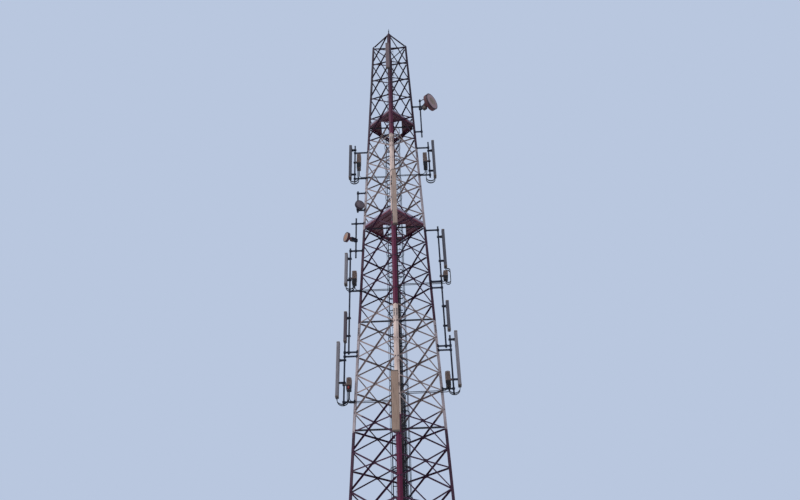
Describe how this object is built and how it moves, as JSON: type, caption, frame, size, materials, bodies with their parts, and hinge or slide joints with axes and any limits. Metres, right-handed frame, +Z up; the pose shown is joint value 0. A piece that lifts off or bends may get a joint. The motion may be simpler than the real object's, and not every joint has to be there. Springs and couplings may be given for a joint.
{
  "type": "four-legged lattice cell tower",
  "caption": "Square lattice tower of red and cream steel angle with caged ladder, work platforms, panel antennas, radio units and microwave dishes on its legs.",
  "frame": {"origin": "on the ground at the middle of the four legs, in the plane of the undersides of the base plates", "axes": "+Z up; the four faces are square to X and Y; the front leg is on +X -Y, the right leg on +X +Y, the rear leg on -X +Y and the left leg on -X -Y"},
  "size_m": [3.9993, 3.9316, 36.0088],
  "materials": {
    "painted_steel": "satin paint in red and cream bands, faded and chalked",
    "galvanised_steel": "weathered hot-dip zinc, dull",
    "radome": "painted glass fibre, matte",
    "dish_drum": "painted aluminium drum with a fabric radome, matte",
    "radio_housing": "powder-coated die casting",
    "cable_jacket": "smooth polyethylene jacket, matte"
  },
  "bodies": {
    "root": {"front_leg": "painted_steel", "right_leg": "painted_steel", "rear_leg": "painted_steel", "left_leg": "painted_steel", "front_base_plate": "painted_steel", "right_base_plate": "painted_steel", "rear_base_plate": "painted_steel", "left_base_plate": "painted_steel", "front_left_bracing": "painted_steel", "front_right_bracing": "painted_steel", "rear_right_bracing": "painted_steel", "rear_left_bracing": "painted_steel", "top_frame": "painted_steel", "ladder_beams": "painted_steel", "upper_platform_frame": "painted_steel", "upper_platform_deck": "painted_steel", "lower_platform_frame": "painted_steel", "lower_platform_deck": "painted_steel", "climbing_ladder": "galvanised_steel", "ladder_cage": "galvanised_steel", "cable_ladder": "galvanised_steel", "feeder_cables": "cable_jacket", "lightning_spike": "galvanised_steel", "right_leg_mounts": "galvanised_steel", "left_leg_mounts": "galvanised_steel", "front_leg_mounts": "galvanised_steel", "right_dish": "dish_drum", "left_upper_dish": "dish_drum", "left_lower_dish": "dish_drum", "right_upper_panel": "radome", "right_middle_panel": "radome", "right_short_panel": "radome", "right_lower_panel": "radome", "left_upper_panel": "radome", "left_middle_panel": "radome", "left_short_panel": "radome", "left_lower_panel": "radome", "front_top_panel": "radome", "front_middle_panel": "radome", "front_lower_panel": "radome", "right_radio_units": "radio_housing", "left_radio_units": "radio_housing", "right_jumpers": "cable_jacket", "left_jumpers": "cable_jacket"}
  },
  "joints": []
}
